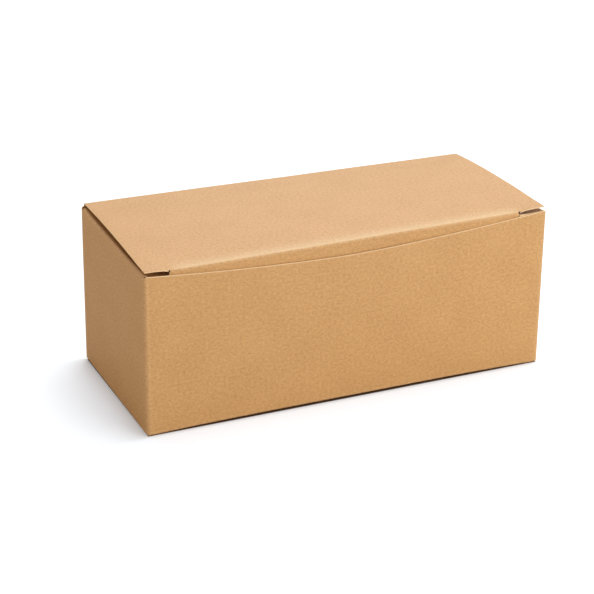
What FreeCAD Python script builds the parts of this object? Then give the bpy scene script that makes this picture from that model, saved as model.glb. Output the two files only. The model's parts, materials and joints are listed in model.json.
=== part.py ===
import FreeCAD, Part
import math
import os
import re

import Sketcher

# A tuck-top folding carton of kraft card, closed.
# One blank is folded into the tray and its tucked lid. The two are separate
# bodies here only because the lid swings on the crease along the back.
# Frame: +X along the length, +Y towards the back, +Z up. The origin is on the
# table, under the middle of the box.

SIZES = {
    "length": (230.0, "outside, end to end"),
    "depth": (101.0, "outside, front to back"),
    "wall_height": (89.4, "table to the top of the walls"),
    "lid_rise": (2.0, "top of the lid above the top of the walls"),
    "card": (0.5, "thickness of the card"),
    "crease_radius": (1.8, "outside radius of the four upright creases"),
    "cut_gap": (0.35, "width of the cuts between neighbouring flaps"),
    "scoop_dip": (6.2, "how far the front wall's top edge dips in its middle"),
    "end_fold_radius": (2.0, "outside radius where an end wall becomes a dust flap"),
    "dust_length": (46.0, "end face to the tip of a dust flap"),
    "dust_setback": (1.7, "front wall to the front edge of a dust flap"),
    "shoulder_setback": (0.3, "front wall to the lock shoulder of a dust flap"),
    "dust_tip_radius": (12.0, "rounding of a dust flap's front tip"),
    "tuck_fold_radius": (1.8, "outside radius of the fold along the lid's front"),
    "tuck_depth": (25.0, "top of the lid to the tip of the tuck flap"),
    "tuck_clearance": (0.3, "front wall to the tuck flap"),
    "tuck_tip_radius": (18.0, "rounding of the tuck flap's corners"),
    "ear_length": (15.5, "flat ear at each front corner of the lid"),
    "ear_setback": (0.6, "front face to the front edge of an ear"),
    "ear_radius": (1.0, "rounding of the lid's corners"),
    "hinge_gap": (0.2, "lid's back edge to the rounded top of the back wall"),
    "foot_fold_radius": (1.5, "outside radius of the folds along the foot"),
    "layer_gap": (0.15, "air between the layers of the bottom"),
    "front_panel_reach": (56.0, "front face to the edge of the outer bottom panel"),
    "back_panel_reach": (73.0, "back face to the edge of the inner bottom panel"),
    "end_panel_reach": (68.0, "end face to the edge of a bottom side panel"),
    "panel_taper": (8.0, "how much the front and back bottom panels narrow at each side"),
    "end_panel_taper": (24.0, "how much a bottom side panel narrows at each side"),
    "tongue_width": (60.0, "locking tongue of the bottom"),
    "tongue_flat": (7.0, "flat run of the tongue before its slope"),
    "tongue_slope": (9.0, "run of the tongue's slope through the inner panel"),
    "tongue_tip": (10.0, "run of the tongue above the inner panel"),
    "window_margin": (2.0, "inner panel's window around the tongue"),
    "glue_width": (16.0, "width of the glued seam flap"),
    "glue_margin": (5.0, "seam flap's distance from the folds at its ends"),
}

# Planes that a sketch lies in, by the axis that it faces, and the sign that
# turns a place along that axis into the plane's own offset.
PLANES = {"x": ("YZ_Plane", ""), "y": ("XZ_Plane", "-"), "z": ("XY_Plane", "")}

# Places that several pieces share, worked out from the sizes
END_X = "(length / 2)"
FACE_Y = "(depth / 2)"
CREASE_X = "(length / 2 - crease_radius)"
CREASE_Y = "(depth / 2 - crease_radius)"
FLAP_X = "(length / 2 - crease_radius - cut_gap)"
FLAP_Y = "(depth / 2 - crease_radius - cut_gap)"
LID_TOP = "(wall_height + lid_rise)"
HINGE_Y = "(depth / 2 - card / 2)"
HINGE_Z = "(wall_height + lid_rise - card / 2)"
SLIT_X = "(length / 2 - ear_length)"
LAYER = "(card + layer_gap)"

# The tuck flap is curved about the lid's hinge, so that it slides up and down
# inside the front wall without touching it.
SWING = "(depth - card * 1.5 - tuck_clearance)"
BEND_DROP = "(tuck_fold_radius - card / 2)"
BEND_REACH = f"sqrt(({SWING} - tuck_fold_radius)^2 - {BEND_DROP}^2)"
BEND_Y = f"({HINGE_Y} - {BEND_REACH})"
TUCK_TIP = "(tuck_depth - card / 2)"
TUCK_LEAN = f"({SWING} - sqrt({SWING}^2 - {TUCK_TIP}^2))"
TIP_Y = f"({HINGE_Y} - {SWING} + {TUCK_LEAN})"

# How far a cut runs past the card that it goes through
CUT_REACH = "(2 * card)"


def bound(text):
    """The expression with each size read from the sheet."""
    return re.sub(r"[a-z_]+", lambda word: named(word.group()), text)


def named(word):
    return f"Sizes.{word}" if word in SIZES else word


def make_sheet(doc):
    sheet = doc.addObject("Spreadsheet::Sheet", "Sizes")
    for row, (alias, (value, meaning)) in enumerate(SIZES.items(), start=1):
        sheet.set(f"A{row}", str(value))
        sheet.setAlias(f"A{row}", alias)
        sheet.set(f"B{row}", meaning)
    doc.recompute()
    return sheet


def rounded(corners, sketch):
    """Replaces each square corner (x, y, radius) with the ends of its arc."""
    places = [point(sketch, corner) for corner in corners]
    result = []
    for index, corner in enumerate(corners):
        if len(corner) != 3:
            result.append(corner)
            continue
        x, y, radius = corner
        here = places[index]
        before = (here - places[index - 1]).normalize()
        after = (places[(index + 1) % len(places)] - here).normalize()
        turn = round(before.x * after.y - before.y * after.x)
        start = [f"{x} - {before.x:.0f} * {radius}", f"{y} - {before.y:.0f} * {radius}"]
        end = [f"{x} + {after.x:.0f} * {radius}", f"{y} + {after.y:.0f} * {radius}"]
        result.append((*start, radius, turn))
        result.append(tuple(end))
    return result


def point(sketch, corner):
    x, y = (float(sketch.evalExpression(bound(text))) for text in corner[:2])
    return FreeCAD.Vector(x, y, 0)


def arc_between(start, end, radius, turn):
    """The short arc from start to end: turn 1 is counter-clockwise, -1 clockwise."""
    chord = end - start
    to_centre = math.sqrt(max(radius**2 - chord.Length**2 / 4, 0)) / chord.Length
    side = FreeCAD.Vector(-chord.y, chord.x, 0) * to_centre * turn
    centre = start + chord / 2 + side
    first, last = (start, end) if turn > 0 else (end, start)
    angles = [math.atan2(p.y - centre.y, p.x - centre.x) for p in (first, last)]
    if angles[1] < angles[0]:
        angles[1] += 2 * math.pi
    circle = Part.Circle(centre, FreeCAD.Vector(0, 0, 1), radius)
    return Part.ArcOfCircle(circle, *angles)


def draw(sketch, corners):
    """Draws a closed outline whose corners and radii follow the sheet."""
    corners = rounded(corners, sketch)
    places = [point(sketch, corner) for corner in corners]
    first = sketch.GeometryCount
    ends = []
    for index, corner in enumerate(corners):
        start, end = places[index], places[(index + 1) % len(places)]
        if len(corner) == 2:
            sketch.addGeometry(Part.LineSegment(start, end))
            ends.append((1, 2))
            continue
        radius, turn = corner[2:]
        size = float(sketch.evalExpression(bound(radius)))
        edge = sketch.addGeometry(arc_between(start, end, size, turn))
        bind(sketch, Sketcher.Constraint("Radius", edge, size), radius)
        ends.append((1, 2) if turn > 0 else (2, 1))
    for index, corner in enumerate(corners):
        edge = first + index
        before = first + (index - 1) % len(corners)
        joint = (before, ends[index - 1][1], edge, ends[index][0])
        sketch.addConstraint(Sketcher.Constraint("Coincident", *joint))
        spot = places[index]
        across = Sketcher.Constraint("DistanceX", -1, 1, edge, ends[index][0], spot.x)
        along = Sketcher.Constraint("DistanceY", -1, 1, edge, ends[index][0], spot.y)
        bind(sketch, across, corner[0])
        bind(sketch, along, corner[1])


def bind(sketch, constraint, text):
    number = sketch.addConstraint(constraint)
    sketch.setExpression(f"Constraints[{number}]", bound(text))


def add_sketch(body, name, axis, place, outlines):
    """A sketch that faces an axis, at a place along it."""
    plane, sign = PLANES[axis]
    sketch = body.newObject("Sketcher::SketchObject", name + "_outline")
    origin = body.Origin.OriginFeatures
    support = next(feature for feature in origin if feature.Role == plane)
    sketch.AttachmentSupport = [(support, "")]
    sketch.MapMode = "FlatFace"
    sketch.setExpression(".AttachmentOffset.Base.z", bound(f"{sign}({place})"))
    for corners in outlines:
        draw(sketch, corners)
    return sketch


def add_feature(kind, body, name, axis, place, thickness, *outlines):
    """A pad or pocket that reaches equally to both sides of its sketch."""
    sketch = add_sketch(body, name, axis, place, outlines)
    feature = body.newObject(kind, name)
    feature.Profile = sketch
    feature.Type = "Length"
    feature.SideType = "Symmetric"
    feature.setExpression("Length", bound(thickness))
    body.Document.recompute()
    return feature


def pad(*details):
    return add_feature("PartDesign::Pad", *details)


def pocket(*details):
    return add_feature("PartDesign::Pocket", *details)


def new_body(doc, label):
    body = doc.addObject("PartDesign::Body", label)
    body.Label = label
    return body


def box_outline(x_low, y_low, x_high, y_high, *radius):
    corners = [(x_low, y_low), (x_high, y_low), (x_high, y_high), (x_low, y_high)]
    return [(*corner, *radius) for corner in corners]


def quarter_fold(face, level, radius, side, up):
    """Section of a fold that turns a wall into a flap.

    face is the wall's outer face, level the flap's outer face. side is the sign
    of the wall's place, and up is 1 for a flap on top and -1 for one below.
    """
    wall = f"{side} * {face}"
    centre = f"{side} * ({face} - {radius})"
    height = f"{level} - {up} * {radius}"
    turn = side * up
    return [
        (wall, height, radius, turn),
        (centre, level),
        (centre, f"{level} - {up} * card", f"({radius} - card)", -turn),
        (f"{side} * ({face} - card)", height),
    ]


def make_walls(body):
    """The four walls, bent round four upright creases, and the glued seam."""
    outer = box_outline(f"-{END_X}", f"-{FACE_Y}", END_X, FACE_Y, "crease_radius")
    inside = [f"-({END_X} - card)", f"-({FACE_Y} - card)", f"({END_X} - card)", f"({FACE_Y} - card)"]
    inner = box_outline(*inside, "(crease_radius - card)")
    pad(body, "walls", "z", "wall_height / 2", "wall_height", outer, inner)

    low = "(foot_fold_radius + 2 * card + glue_margin)"
    high = "(wall_height - end_fold_radius - glue_margin)"
    inner_y = f"({CREASE_Y} - glue_width)"
    seam = [
        (CREASE_Y, low),
        (CREASE_Y, high),
        (inner_y, f"{high} - glue_width / 2"),
        (inner_y, f"{low} + glue_width / 2"),
    ]
    pad(body, "glue_flap", "x", f"{END_X} - 1.5 * card", "card", seam)


def make_front_scoop(body):
    """The front wall's top edge, a shallow arc from crease to crease."""
    radius = f"(({CREASE_X}^2 + scoop_dip^2) / (2 * scoop_dip))"
    scoop = [
        (f"-{CREASE_X}", "wall_height", radius, 1),
        (CREASE_X, "wall_height"),
        (CREASE_X, f"wall_height + {CUT_REACH}"),
        (f"-{CREASE_X}", f"wall_height + {CUT_REACH}"),
    ]
    pocket(body, "front_scoop", "y", f"-({FACE_Y} - card / 2)", CUT_REACH, scoop)


def make_dust_flaps(body):
    """The two flaps that fold in from the end walls, under the lid."""
    level = "wall_height - end_fold_radius"
    notch = box_outline(f"-{CREASE_Y}", level, CREASE_Y, f"wall_height + {CUT_REACH}")
    for side, hand in ((-1, "left"), (1, "right")):
        wall_x = f"{side} * ({END_X} - card / 2)"
        pocket(body, f"{hand}_end_notch", "x", wall_x, CUT_REACH, notch)

        fold = quarter_fold(END_X, "wall_height", "end_fold_radius", side, 1)
        pad(body, f"{hand}_end_fold", "y", "0", f"2 * {FLAP_Y}", fold)

        root = f"{side} * ({END_X} - end_fold_radius)"
        tip = f"{side} * ({END_X} - dust_length)"
        edge = f"-({FACE_Y} - card - dust_setback)"
        shoulder = f"-({FACE_Y} - card - shoulder_setback)"
        flap = [
            (root, FLAP_Y),
            (tip, FLAP_Y),
            (tip, edge, "dust_tip_radius"),
            (f"{side} * ({SLIT_X} + cut_gap)", edge),
            (f"{side} * ({SLIT_X} + cut_gap)", shoulder),
            (f"{side} * ({CREASE_X} - 2 * cut_gap)", shoulder),
            (f"{side} * ({CREASE_X} - 2 * cut_gap)", edge),
            (root, edge),
        ]
        pad(body, f"{hand}_dust_flap", "z", "wall_height - card / 2", "card", flap)


def make_back_top(body):
    """The back wall's top, raised to the lid and rounded about the hinge."""
    radius = "(card / 2)"
    section = [
        (f"{FACE_Y} - card", "wall_height"),
        (FACE_Y, "wall_height"),
        (FACE_Y, HINGE_Z, radius, 1),
        (HINGE_Y, LID_TOP, radius, 1),
        (f"{FACE_Y} - card", HINGE_Z),
    ]
    pad(body, "back_top", "x", "0", f"2 * {CREASE_X}", section)


def make_bottom(body):
    """The snap-lock bottom: side panels between an outer and an inner panel."""
    make_bottom_panel(body, "front_panel", -1, "0", "front_panel_reach")
    make_bottom_panel(body, "back_panel", 1, f"(2 * {LAYER})", "back_panel_reach")
    make_side_panels(body)
    make_tongue(body)


def make_bottom_panel(body, name, side, level, reach):
    """A panel folded in from the front (side -1) or back wall (side 1)."""
    centre = f"({level} + foot_fold_radius)"
    notch = box_outline(f"-{CREASE_X}", f"-{CUT_REACH}", CREASE_X, centre)
    wall_y = f"{side} * ({FACE_Y} - card / 2)"
    pocket(body, f"{name}_notch", "y", wall_y, CUT_REACH, notch)

    fold = quarter_fold(FACE_Y, level, "foot_fold_radius", side, -1)
    pad(body, f"{name}_fold", "x", "0", f"2 * {FLAP_X}", fold)

    root = f"{side} * ({FACE_Y} - foot_fold_radius)"
    edge = f"{side} * ({FACE_Y} - {reach})"
    panel = [
        (f"-{FLAP_X}", root),
        (FLAP_X, root),
        (f"({FLAP_X} - panel_taper)", edge),
        (f"-({FLAP_X} - panel_taper)", edge),
    ]
    pad(body, name, "z", f"{level} + card / 2", "card", panel)


def make_side_panels(body):
    """The panels folded in from the end walls, between the other two."""
    level = LAYER
    centre = f"({level} + foot_fold_radius)"
    notch = box_outline(f"-{CREASE_Y}", f"-{CUT_REACH}", CREASE_Y, centre)
    for side, hand in ((-1, "left"), (1, "right")):
        wall_x = f"{side} * ({END_X} - card / 2)"
        pocket(body, f"{hand}_panel_notch", "x", wall_x, CUT_REACH, notch)

        fold = quarter_fold(END_X, level, "foot_fold_radius", side, -1)
        pad(body, f"{hand}_panel_fold", "y", "0", f"2 * {FLAP_Y}", fold)

        root = f"{side} * ({END_X} - foot_fold_radius)"
        edge = f"{side} * ({END_X} - end_panel_reach)"
        panel = [
            (root, f"-({FLAP_Y} - cut_gap)"),
            (edge, f"-({FLAP_Y} - end_panel_taper)"),
            (edge, f"({FLAP_Y} - end_panel_taper)"),
            (root, f"({FLAP_Y} - cut_gap)"),
        ]
        pad(body, f"{hand}_panel", "z", f"{level} + card / 2", "card", panel)


def make_tongue(body):
    """The outer panel's tongue, up through a window in the inner panel."""
    start = f"(front_panel_reach - {FACE_Y})"
    foot = f"({start} + tongue_flat)"
    head = f"({foot} + tongue_slope)"
    tip = f"({head} + tongue_tip)"
    rise = f"(3 * {LAYER})"
    level = f"2 * {LAYER} + card / 2"
    half = "(tongue_width / 2 + window_margin)"
    window = box_outline(f"-{half}", foot, half, f"({head} + window_margin)")
    pocket(body, "tongue_window", "z", level, LAYER, window)

    section = [
        (start, "0"),
        (foot, "0"),
        (head, rise),
        (tip, rise),
        (tip, f"{rise} + card"),
        (head, f"{rise} + card"),
        (foot, "card"),
        (start, "card"),
    ]
    pad(body, "tongue", "x", "0", "tongue_width", section)


def make_carton(doc):
    body = new_body(doc, "carton_body")
    make_walls(body)
    make_front_scoop(body)
    make_dust_flaps(body)
    make_back_top(body)
    make_bottom(body)
    return body


def make_lid(doc):
    """The top panel with its two ears and the tuck flap folded down from it."""
    body = new_body(doc, "lid")
    ear_y = f"-({FACE_Y} - ear_setback)"
    back_y = f"({HINGE_Y} - card / 2 - hinge_gap)"
    notch_x = f"({SLIT_X} + cut_gap)"
    panel = [
        (f"-{END_X}", ear_y, "ear_radius"),
        (f"-{notch_x}", ear_y),
        (f"-{notch_x}", BEND_Y),
        (notch_x, BEND_Y),
        (notch_x, ear_y),
        (END_X, ear_y, "ear_radius"),
        (END_X, back_y, "ear_radius"),
        (f"-{END_X}", back_y, "ear_radius"),
    ]
    pad(body, "lid_panel", "z", HINGE_Z, "card", panel)
    pad(body, "tuck_flap", "x", "0", f"2 * {SLIT_X}", tuck_section())
    reach = f"2 * ({TUCK_LEAN} + card + {CUT_REACH})"
    pocket(body, "tuck_tips", "y", TIP_Y, reach, *tuck_tip_cuts())
    return body


def tuck_section():
    """The fold and the flap, as arcs about the bend and about the hinge."""
    inner_swing = f"({SWING} - card)"
    outer_share = f"{SWING} / ({SWING} - tuck_fold_radius)"
    inner_share = f"{inner_swing} / ({SWING} - tuck_fold_radius)"
    tip_z = f"{HINGE_Z} - {TUCK_TIP}"
    inner_tip_y = f"{HINGE_Y} - sqrt({inner_swing}^2 - {TUCK_TIP}^2)"
    return [
        (BEND_Y, LID_TOP, "tuck_fold_radius", 1),
        (
            f"{HINGE_Y} - {BEND_REACH} * {outer_share}",
            f"{HINGE_Z} - {BEND_DROP} * {outer_share}",
            SWING,
            1,
        ),
        (TIP_Y, tip_z),
        (inner_tip_y, tip_z, inner_swing, -1),
        (
            f"{HINGE_Y} - {BEND_REACH} * {inner_share}",
            f"{HINGE_Z} - {BEND_DROP} * {inner_share}",
            "(tuck_fold_radius - card)",
            -1,
        ),
        (BEND_Y, f"{LID_TOP} - card"),
    ]


def tuck_tip_cuts():
    """The waste outside the flap's two rounded corners."""
    tip_z = f"({HINGE_Z} - {TUCK_TIP})"
    cuts = []
    for side in (-1, 1):
        edge = f"{side} * {SLIT_X}"
        outside = f"{side} * ({SLIT_X} + {CUT_REACH})"
        curve_x = f"{side} * ({SLIT_X} - tuck_tip_radius)"
        cut = [
            (curve_x, tip_z, "tuck_tip_radius", side),
            (edge, f"{tip_z} + tuck_tip_radius"),
            (outside, f"{tip_z} + tuck_tip_radius"),
            (outside, f"{tip_z} - {CUT_REACH}"),
            (curve_x, f"{tip_z} - {CUT_REACH}"),
        ]
        cuts.append(cut)
    return cuts


def check_document(doc):
    for thing in doc.Objects:
        if {"Invalid", "Error"} & set(thing.State):
            raise RuntimeError(f"{thing.Label} failed: {thing.State}")


def export(bodies):
    os.makedirs("parts", exist_ok=True)
    for body in bodies:
        shape = body.Shape
        if shape.isNull() or not shape.isValid():
            raise RuntimeError(f"{body.Label} has no valid shape")
        shape.exportStep(f"parts/{body.Label}.step")
        box = shape.BoundBox
        low = [round(value, 2) for value in (box.XMin, box.YMin, box.ZMin)]
        high = [round(value, 2) for value in (box.XMax, box.YMax, box.ZMax)]
        print(body.Label, len(shape.Solids), "solid", round(shape.Volume), "mm3", low, high)


document = FreeCAD.newDocument("tuck_top_carton")
make_sheet(document)
pieces = [make_carton(document), make_lid(document)]
document.recompute()
check_document(document)
export(pieces)
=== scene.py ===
# %% [markdown]
# A tuck-top carton of kraft card, closed.
# The real box is one die-cut blank, folded along creased lines. It could be modelled
# as six flat boxes, but then no fold would run on from one panel to the next. This
# lesson folds it like the real one: every panel is a grid of points on the middle of
# the card, bent round its creases, welded to its neighbours and only then given its
# thickness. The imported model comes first, because it fixes where every piece goes.

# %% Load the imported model
import json
import math

import bmesh
import bpy
import numpy as np
from mathutils import Matrix, Vector, noise


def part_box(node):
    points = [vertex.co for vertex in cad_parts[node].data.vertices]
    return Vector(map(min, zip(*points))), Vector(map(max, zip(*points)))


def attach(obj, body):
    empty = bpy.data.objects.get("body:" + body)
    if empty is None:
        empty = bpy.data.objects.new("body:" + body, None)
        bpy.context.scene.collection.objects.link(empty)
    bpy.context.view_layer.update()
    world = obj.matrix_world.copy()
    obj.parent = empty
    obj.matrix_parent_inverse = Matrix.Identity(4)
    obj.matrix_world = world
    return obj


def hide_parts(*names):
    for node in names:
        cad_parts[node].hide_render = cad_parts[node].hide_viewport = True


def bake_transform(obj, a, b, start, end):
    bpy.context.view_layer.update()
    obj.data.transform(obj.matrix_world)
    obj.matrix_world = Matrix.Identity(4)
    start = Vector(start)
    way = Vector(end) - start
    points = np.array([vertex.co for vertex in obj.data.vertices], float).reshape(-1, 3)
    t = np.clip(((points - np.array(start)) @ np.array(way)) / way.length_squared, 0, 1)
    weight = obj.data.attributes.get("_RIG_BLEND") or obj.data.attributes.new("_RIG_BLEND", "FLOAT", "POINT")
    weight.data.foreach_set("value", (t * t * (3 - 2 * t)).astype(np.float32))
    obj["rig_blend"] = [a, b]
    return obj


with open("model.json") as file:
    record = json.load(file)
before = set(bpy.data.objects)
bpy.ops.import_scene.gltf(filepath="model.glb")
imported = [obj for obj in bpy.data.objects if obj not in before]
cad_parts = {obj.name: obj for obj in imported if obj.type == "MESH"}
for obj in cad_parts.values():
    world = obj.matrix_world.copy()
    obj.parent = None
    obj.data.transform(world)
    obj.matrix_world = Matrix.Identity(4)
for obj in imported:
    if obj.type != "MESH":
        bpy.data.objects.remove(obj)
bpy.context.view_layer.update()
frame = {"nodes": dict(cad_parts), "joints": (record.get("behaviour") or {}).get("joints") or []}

MM = 0.001
body_low, body_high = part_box("carton_body")
lid_low, lid_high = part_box("lid")
joint = frame["joints"][0]
print("loaded", sorted(frame["nodes"]), "with the joint", joint["name"])

# %% [markdown]
# The camera stands where the photograph was taken from. A long lens at about a
# metre keeps the box's edges nearly parallel. The place could be typed in as three
# coordinates, but a direction round the box, a distance and a small roll are what a
# photographer would say, and each can be changed without spoiling the others.

# %% Camera
CAMERA_AZIMUTH = math.radians(-24.23)
CAMERA_ELEVATION = math.radians(23.62)
CAMERA_ROLL = math.radians(0.59)
CAMERA_LENS = 113.74
CAMERA_SENSOR = 36.0
BOX_LENGTH = (body_high - body_low).x
CAMERA_DISTANCE = 4.5446 * BOX_LENGTH
AIM_RIGHT = 0.0354 * BOX_LENGTH
AIM_UP = -0.1532 * BOX_LENGTH


def camera_axes():
    """Right, up and back of the camera, as directions in the frame."""
    flat = math.cos(CAMERA_ELEVATION)
    back = Vector((
        math.sin(CAMERA_AZIMUTH) * flat,
        -math.cos(CAMERA_AZIMUTH) * flat,
        math.sin(CAMERA_ELEVATION),
    ))
    level_right = (-back).cross(Vector((0, 0, 1))).normalized()
    level_up = level_right.cross(-back)
    turn, lift = math.cos(CAMERA_ROLL), math.sin(CAMERA_ROLL)
    return level_right * turn + level_up * lift, level_up * turn - level_right * lift, back


def add_object(name, data):
    """A new object at the origin, for a mesh, a lamp or a camera."""
    thing = bpy.data.objects.new(name, data)
    bpy.context.scene.collection.objects.link(thing)
    return thing


def make_camera():
    right, up, back = camera_axes()
    data = bpy.data.cameras.new("camera")
    data.lens = CAMERA_LENS
    data.sensor_width = CAMERA_SENSOR
    camera = add_object("camera", data)
    camera.rotation_euler = Matrix((right, up, back)).transposed().to_euler()
    camera.location = back * CAMERA_DISTANCE - right * AIM_RIGHT - up * AIM_UP
    bpy.context.scene.camera = camera
    return camera


camera = make_camera()
print("camera at", [round(value, 3) for value in camera.location])

# %% [markdown]
# The light is a studio's. A large soft lamp hangs overhead on the right, a second
# one fills the front, and a third, behind and above, is mirrored where the lid
# bends down to its fold. A small warm one on the left, as weak as a reflector card,
# lightens the shaded end from too high to reach under the lid. A ready-made sky could
# light the box too, but separate lamps let each face be set by itself. The room is
# dim and warm but for a pale back wall, which gives the flat of the lid its sheen.

# %% Lamps and room
WHITE = (1, 1, 1)
LAMPS = {
    # name: direction from the box, distance, width, height, power, colour
    "key_lamp": (Vector((0.33, 0.0, 0.94)), 1.6, 1.2, 1.2, 9.9, WHITE),
    "fill_lamp": (Vector((0.55, -0.83, 0.18)), 1.2, 0.8, 0.8, 8.0, WHITE),
    "back_lamp": (Vector((0.36, 0.64, 0.68)), 1.5, 0.7, 0.7, 3.0, WHITE),
    "side_card": (Vector((-1.0, -0.25, 0.35)), 0.8, 0.5, 0.3, 0.4, (1, 0.75, 0.65)),
}
ROOM_COLOUR = (1.0, 0.93, 0.85)
ROOM_STRENGTH = 0.42
BACKDROP_STRENGTH = 1.0
BACK_WALL_STRENGTH = 1.0
BACK_WALL_AT = Vector((0.34, 0.78, 0.53))
BACK_WALL_EDGE = 0.45
BACK_WALL_CORE = 0.9
BOX_MIDDLE = Vector((0, 0, 0.045))


def add_lamp(name, direction, distance, width, height, power, colour):
    data = bpy.data.lights.new(name, "AREA")
    data.shape = "RECTANGLE"
    data.size = width
    data.size_y = height
    data.energy = power
    data.color = colour
    lamp = add_object(name, data)
    lamp.location = BOX_MIDDLE + direction.normalized() * distance
    lamp.rotation_euler = direction.to_track_quat("Z", "Y").to_euler()
    return lamp


def add_node(tree, kind, **sockets):
    """A node whose inputs are set by name, with spaces written as underscores."""
    node = tree.nodes.new(kind)
    for name, value in sockets.items():
        node.inputs[name.replace("_", " ")].default_value = value
    return node


def mix_shaders(tree, factor, first, second):
    """The first shader where the factor is 0, and the second where it is 1."""
    node = tree.nodes.new("ShaderNodeMixShader")
    for place, socket in enumerate((factor, first, second)):
        tree.links.new(socket, node.inputs[place])
    return node.outputs[0]


def back_wall(tree):
    """How much of the pale back wall each direction of the room shows."""
    place = tree.nodes.new("ShaderNodeTexCoord")
    facing = tree.nodes.new("ShaderNodeVectorMath")
    facing.operation = "DOT_PRODUCT"
    facing.inputs[1].default_value = BACK_WALL_AT.normalized()
    limits = {"From_Min": BACK_WALL_EDGE, "From_Max": BACK_WALL_CORE}
    glow = add_node(tree, "ShaderNodeMapRange", **limits)
    glow.interpolation_type = "SMOOTHSTEP"
    tree.links.new(place.outputs["Generated"], facing.inputs[0])
    tree.links.new(facing.outputs["Value"], glow.inputs["Value"])
    return glow.outputs["Result"]


def make_room():
    """Warm and dim with a pale wall to the box, and plain white to the camera."""
    world = bpy.data.worlds.new("pale_room")
    bpy.context.scene.world = world
    world.use_nodes = True
    tree = world.node_tree
    tree.nodes.clear()
    room, wall, backdrop = (
        add_node(tree, "ShaderNodeBackground", Color=(*colour, 1), Strength=strength).outputs[0]
        for colour, strength in (
            (ROOM_COLOUR, ROOM_STRENGTH), (WHITE, BACK_WALL_STRENGTH), (WHITE, BACKDROP_STRENGTH),
        )
    )
    lit = mix_shaders(tree, back_wall(tree), room, wall)
    path = tree.nodes.new("ShaderNodeLightPath")
    out = tree.nodes.new("ShaderNodeOutputWorld")
    seen = mix_shaders(tree, path.outputs["Is Camera Ray"], lit, backdrop)
    tree.links.new(seen, out.inputs["Surface"])


for name, settings in LAMPS.items():
    add_lamp(name, *settings)
# The side card lightens the end, but no sheen mirrors it.
bpy.data.objects["side_card"].visible_glossy = False
make_room()
bpy.context.scene.view_settings.view_transform = "Standard"
print("lamps:", [light.name for light in bpy.data.lights])

# %% [markdown]
# The floor is a plain white sheet. It throws soft light back at the box, and to the
# camera it glows a little, so that it reads as white and still keeps the box's
# shadow. A shadow catcher would need compositing, and this needs only a material.
# The glow dips beside the box as a painted shadow, which deepens the contact shadow
# there, and it grows far from the box, so that a low view meets white at the horizon.
# It is a little cool, against the warmth of the room. Under the box the floor is
# painted dark brown, a painted shade that darkens the slit under the arched foot.
# The card's sheen sees a darker floor, as if a black card stood beside the box,
# because a white one would wash out the brown of the end.

# %% Floor
FLOOR_SIZE = 12.0
FLOOR_COLOUR = (0.80, 0.80, 0.80, 1)
FLOOR_IN_SHEEN = (0.34, 0.32, 0.30, 1)
# Painted shade: the floor under the box is drawn dark brown, where only shade falls.
PAINTED_SHADE_UNDER_BOX = (0.16, 0.10, 0.06, 1)
FLOOR_TINT = (0.84, 1.0, 1.15, 1)
FLOOR_GLOW = 0.43
# The glow's dip beside the box is a painted shadow; the two fades set how far it reaches.
FLOOR_PAINTED_SHADOW_DIP = 0.27
FLOOR_FADE_END = 0.009
FLOOR_FADE_FRONT = 0.0012
UNDER_EDGE = -0.0006
# Beyond this distance, the glow grows by so much for every metre.
FLOOR_FAR = 0.5
FLOOR_FAR_GLOW = 1.0


def math_node(tree, operation, first, second=None, clamp=False):
    """A Math node whose inputs are sockets or plain numbers."""
    node = tree.nodes.new("ShaderNodeMath")
    node.operation = operation
    node.use_clamp = clamp
    for place, value in enumerate((first, second)):
        if value is None:
            continue
        if isinstance(value, bpy.types.NodeSocket):
            tree.links.new(value, node.inputs[place])
        else:
            node.inputs[place].default_value = value
    return node.outputs[0]


def distances_from_box(tree):
    """How far a floor point lies beyond the box's ends and beyond its long walls."""
    place = tree.nodes.new("ShaderNodeTexCoord")
    split = tree.nodes.new("ShaderNodeSeparateXYZ")
    tree.links.new(place.outputs["Object"], split.inputs[0])
    past = []
    for axis, half in (("X", body_high.x), ("Y", body_high.y)):
        away = math_node(tree, "ABSOLUTE", split.outputs[axis])
        past.append(math_node(tree, "SUBTRACT", away, half))
    return past


def floor_glow(tree, past_end, past_front):
    """Camera-only glow, dipping to a painted shadow against the box and full far from it."""
    fades = [
        math_node(tree, "DIVIDE", math_node(tree, "MAXIMUM", past, 0.0), -fade)
        for past, fade in ((past_end, FLOOR_FADE_END), (past_front, FLOOR_FADE_FRONT))
    ]
    fade = math_node(tree, "EXPONENT", math_node(tree, "ADD", *fades))
    # Near the box the dip takes glow away, as painted shadow.
    glow = math_node(tree, "SUBTRACT", FLOOR_GLOW, math_node(tree, "MULTIPLY", fade, FLOOR_PAINTED_SHADOW_DIP))
    outside = math_node(tree, "MAXIMUM", past_end, past_front)
    beyond = math_node(tree, "SUBTRACT", outside, FLOOR_FAR)
    far = math_node(tree, "MULTIPLY", beyond, FLOOR_FAR_GLOW, clamp=True)
    glow = math_node(tree, "ADD", glow, far)
    path = tree.nodes.new("ShaderNodeLightPath")
    return math_node(tree, "MULTIPLY", glow, path.outputs["Is Camera Ray"])


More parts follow.
